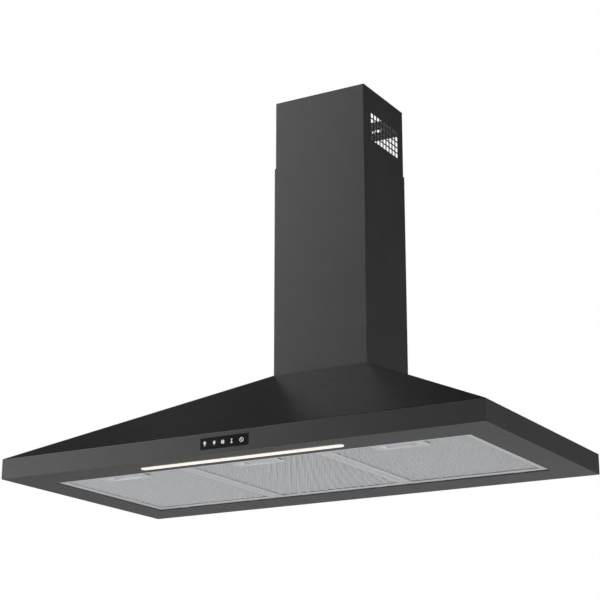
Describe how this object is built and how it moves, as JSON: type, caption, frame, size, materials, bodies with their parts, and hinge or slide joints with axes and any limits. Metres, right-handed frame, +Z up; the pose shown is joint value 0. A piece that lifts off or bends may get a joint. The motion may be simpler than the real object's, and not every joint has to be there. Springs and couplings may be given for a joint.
{
  "type": "chimney range hood",
  "caption": "Wall-mounted chimney range hood: pyramid canopy with a touch panel, light bar and tilting mesh filters, blower inside, and a telescopic chimney.",
  "frame": {"origin": "on the wall plane, at mid width, level with the underside of the rim", "axes": "+X to the right seen from the front, +Y into the wall, +Z up"},
  "size_m": [0.9, 0.47, 0.7366],
  "materials": {
    "black_steel": "semi-gloss powder coat",
    "galvanised_steel": "satin, galvanised",
    "screw_steel": "satin, zinc plated",
    "shaft_steel": "ground",
    "core_steel": "laminated, satin",
    "cast_aluminium": "satin",
    "filter_aluminium": "satin, expanded mesh",
    "collar_plastic": "matt",
    "impeller_plastic": "matt",
    "box_plastic": "matt",
    "board_green": "satin",
    "board_white": "satin",
    "capacitor_white": "gloss",
    "light_cover": "opal, satin",
    "panel_glass": "black, gloss, printed from behind",
    "grommet_rubber": "matt",
    "winding_copper": "enamelled copper wire",
    "lead_sheath": "satin"
  },
  "bodies": {
    "hood": {"canopy_shell": "black_steel", "front_fascia": "black_steel", "bottom_frame": "black_steel", "lower_chimney": "black_steel", "top_plate": "galvanised_steel", "back_panel": "galvanised_steel", "chimney_screws": "screw_steel", "blower_screws": "screw_steel", "outlet_collar": "collar_plastic", "flap_pin": "screw_steel", "cable_gland": "collar_plastic", "blower_scroll": "galvanised_steel", "blower_side_left": "galvanised_steel", "blower_side_right": "galvanised_steel", "inlet_guard": "collar_plastic", "motor_stator": "core_steel", "motor_windings": "winding_copper", "motor_end_bells": "cast_aluminium", "motor_bearings": "shaft_steel", "motor_bracket": "galvanised_steel", "motor_grommets": "grommet_rubber", "control_box": "box_plastic", "control_box_lid": "box_plastic", "power_board": "board_green", "led_driver": "box_plastic", "run_capacitor": "capacitor_white", "capacitor_clip": "galvanised_steel", "led_profile": "cast_aluminium", "led_board": "board_white", "led_diffuser": "light_cover", "control_glass": "panel_glass", "touch_holder": "collar_plastic", "touch_board": "board_green", "motor_lead": "lead_sheath", "light_lead": "lead_sheath", "panel_lead": "lead_sheath"},
    "upper_cover": {"upper_chimney": "black_steel", "chimney_bracket": "black_steel", "bracket_screws": "screw_steel"},
    "fan_wheel": {"impeller": "impeller_plastic", "impeller_nut": "screw_steel", "motor_shaft": "shaft_steel", "motor_rotor": "core_steel"},
    "front_flap": {"flap_front": "collar_plastic"},
    "rear_flap": {"flap_rear": "collar_plastic"},
    "filter_left": {"filter_frame_left": "filter_aluminium", "filter_mesh_left": "filter_aluminium", "filter_handle_left": "filter_aluminium", "latch_spring_left": "shaft_steel"},
    "latch_left": {"filter_latch_left": "screw_steel"},
    "filter_center": {"filter_frame_center": "filter_aluminium", "filter_mesh_center": "filter_aluminium", "filter_handle_center": "filter_aluminium", "latch_spring_center": "shaft_steel"},
    "latch_center": {"filter_latch_center": "screw_steel"},
    "filter_right": {"filter_frame_right": "filter_aluminium", "filter_mesh_right": "filter_aluminium", "filter_handle_right": "filter_aluminium", "latch_spring_right": "shaft_steel"},
    "latch_right": {"filter_latch_right": "screw_steel"}
  },
  "joints": [
    {"name": "upper_cover_slide", "type": "slide", "parent": "hood", "child": "upper_cover", "axis": [0, 0, 1], "range_m": [-0.12, 0.24]},
    {"name": "fan_spin", "type": "hinge", "parent": "hood", "child": "fan_wheel", "pos_m": [0, -0.11, 0.11793], "axis": [1, 0, 0], "continuous": true},
    {"name": "front_flap_turn", "type": "hinge", "parent": "hood", "child": "front_flap", "pos_m": [0, -0.08, 0.216], "axis": [-1, 0, 0], "range_deg": [0, 75]},
    {"name": "rear_flap_turn", "type": "hinge", "parent": "hood", "child": "rear_flap", "pos_m": [0, -0.08, 0.216], "axis": [1, 0, 0], "range_deg": [0, 75]},
    {"name": "filter_left_tilt", "type": "hinge", "parent": "hood", "child": "filter_left", "pos_m": [-0.26133, -0.075, 0.0024], "axis": [1, 0, 0], "range_deg": [0, 60]},
    {"name": "latch_left_slide", "type": "slide", "parent": "filter_left", "child": "latch_left", "axis": [0, 1, 0], "range_m": [0, 0.006], "stiffness_N_per_m": 400, "springref_m": -0.004, "deforming": ["latch_spring_left"]},
    {"name": "filter_center_tilt", "type": "hinge", "parent": "hood", "child": "filter_center", "pos_m": [0, -0.075, 0.0024], "axis": [1, 0, 0], "range_deg": [0, 60]},
    {"name": "latch_center_slide", "type": "slide", "parent": "filter_center", "child": "latch_center", "axis": [0, 1, 0], "range_m": [0, 0.006], "stiffness_N_per_m": 400, "springref_m": -0.004, "deforming": ["latch_spring_center"]},
    {"name": "filter_right_tilt", "type": "hinge", "parent": "hood", "child": "filter_right", "pos_m": [0.26133, -0.075, 0.0024], "axis": [1, 0, 0], "range_deg": [0, 60]},
    {"name": "latch_right_slide", "type": "slide", "parent": "filter_right", "child": "latch_right", "axis": [0, 1, 0], "range_m": [0, 0.006], "stiffness_N_per_m": 400, "springref_m": -0.004, "deforming": ["latch_spring_right"]}
  ]
}
